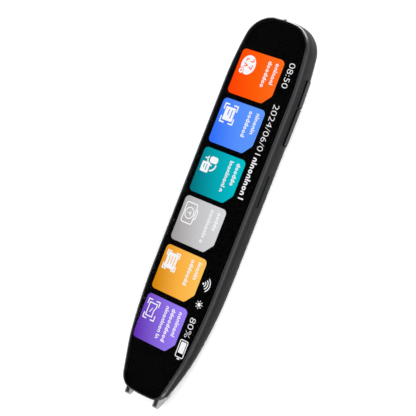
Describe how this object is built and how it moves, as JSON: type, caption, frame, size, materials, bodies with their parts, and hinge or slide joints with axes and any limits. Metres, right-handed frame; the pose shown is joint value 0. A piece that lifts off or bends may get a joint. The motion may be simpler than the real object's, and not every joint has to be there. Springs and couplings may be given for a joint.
{
  "type": "scanning translation pen",
  "caption": "Slim touch-screen pen that reads printed lines through a window at its nib, with a sprung guide fork, side keys, rear camera and speaker grille.",
  "frame": {"origin": "on the flat of the back, on the pen's centre line, 77.8 mm from the top end", "axes": "+X across the pen towards the side keys, +Y along the pen towards the top end, +Z out through the screen"},
  "size_m": [0.0336, 0.1552, 0.0118],
  "materials": {
    "casing_plastic": "matt, finely textured",
    "rim_plastic": "satin dark grey",
    "cover_glass": "polished, clear over the display",
    "black_tape": "matt adhesive foam",
    "display": "laminated panel, lit from behind",
    "flex_film": "amber polyimide film",
    "board_laminate": "green solder mask",
    "screw_steel": "bright zinc plate",
    "shield_tin": "tinned sheet",
    "black_moulding": "fine moulded",
    "port_steel": "drawn stainless steel",
    "pouch_foil": "silvery pouch foil",
    "black_foam": "soft foam pad",
    "black_mesh": "fine acoustic mesh",
    "speaker_metal": "black coated cup",
    "speaker_film": "thin film diaphragm",
    "turned_black_metal": "black anodised, turned rings",
    "lens_glass": "coated glass",
    "key_plastic": "satin black",
    "switch_metal": "plated",
    "fork_plastic": "light grey moulded",
    "pad_elastomer": "dark grey elastomer",
    "spring_steel": "bright spring wire",
    "window_pane": "polished, near black, lets infrared and dim light through",
    "lamp_board": "white board with lamps"
  },
  "bodies": {
    "body": {"rear_cover": "casing_plastic", "front_frame": "rim_plastic", "cover_glass": "cover_glass", "glass_tape": "black_tape", "display_panel": "display", "display_flex": "flex_film", "main_board": "board_laminate", "board_screws": "screw_steel", "shield_cans": "shield_tin", "board_connectors": "black_moulding", "microphone": "shield_tin", "usb_shell": "port_steel", "usb_tongue": "black_moulding", "card_socket": "port_steel", "battery_cell": "pouch_foil", "battery_foam": "black_foam", "battery_board": "board_laminate", "speaker_mesh": "black_mesh", "speaker_gasket": "black_foam", "speaker_basket": "speaker_metal", "speaker_cone": "speaker_film", "camera_trim": "turned_black_metal", "lens_window": "lens_glass", "lens_barrel": "black_moulding", "camera_module": "black_moulding", "camera_flex": "flex_film", "key_board": "board_laminate", "power_switch": "switch_metal", "function_switch": "switch_metal", "nib_springs": "spring_steel", "nib_switch": "switch_metal", "scan_window": "window_pane", "scan_bracket": "black_moulding", "scan_lens": "turned_black_metal", "scan_sensor": "board_laminate", "scan_lights": "lamp_board", "scan_ribbon": "flex_film", "antenna_film": "flex_film"},
    "power_key": {"power_key": "key_plastic", "power_plunger": "black_moulding"},
    "function_key": {"function_key": "key_plastic", "function_plunger": "black_moulding"},
    "fork": {"nib_fork": "fork_plastic", "nib_pads": "pad_elastomer", "nib_plunger": "black_moulding"}
  },
  "joints": [
    {"name": "power_key_press", "type": "slide", "parent": "body", "child": "power_key", "axis": [-1, 0, 0], "range_m": [0, 0.0004], "stiffness_N_per_m": 400, "springref_m": -0.0015},
    {"name": "function_key_press", "type": "slide", "parent": "body", "child": "function_key", "axis": [-1, 0, 0], "range_m": [0, 0.0004], "stiffness_N_per_m": 400, "springref_m": -0.0015},
    {"name": "nib_press", "type": "slide", "parent": "body", "child": "fork", "axis": [0, 1, 0], "range_m": [0, 0.001], "stiffness_N_per_m": 300, "springref_m": -0.002, "deforming": ["nib_springs"]}
  ]
}
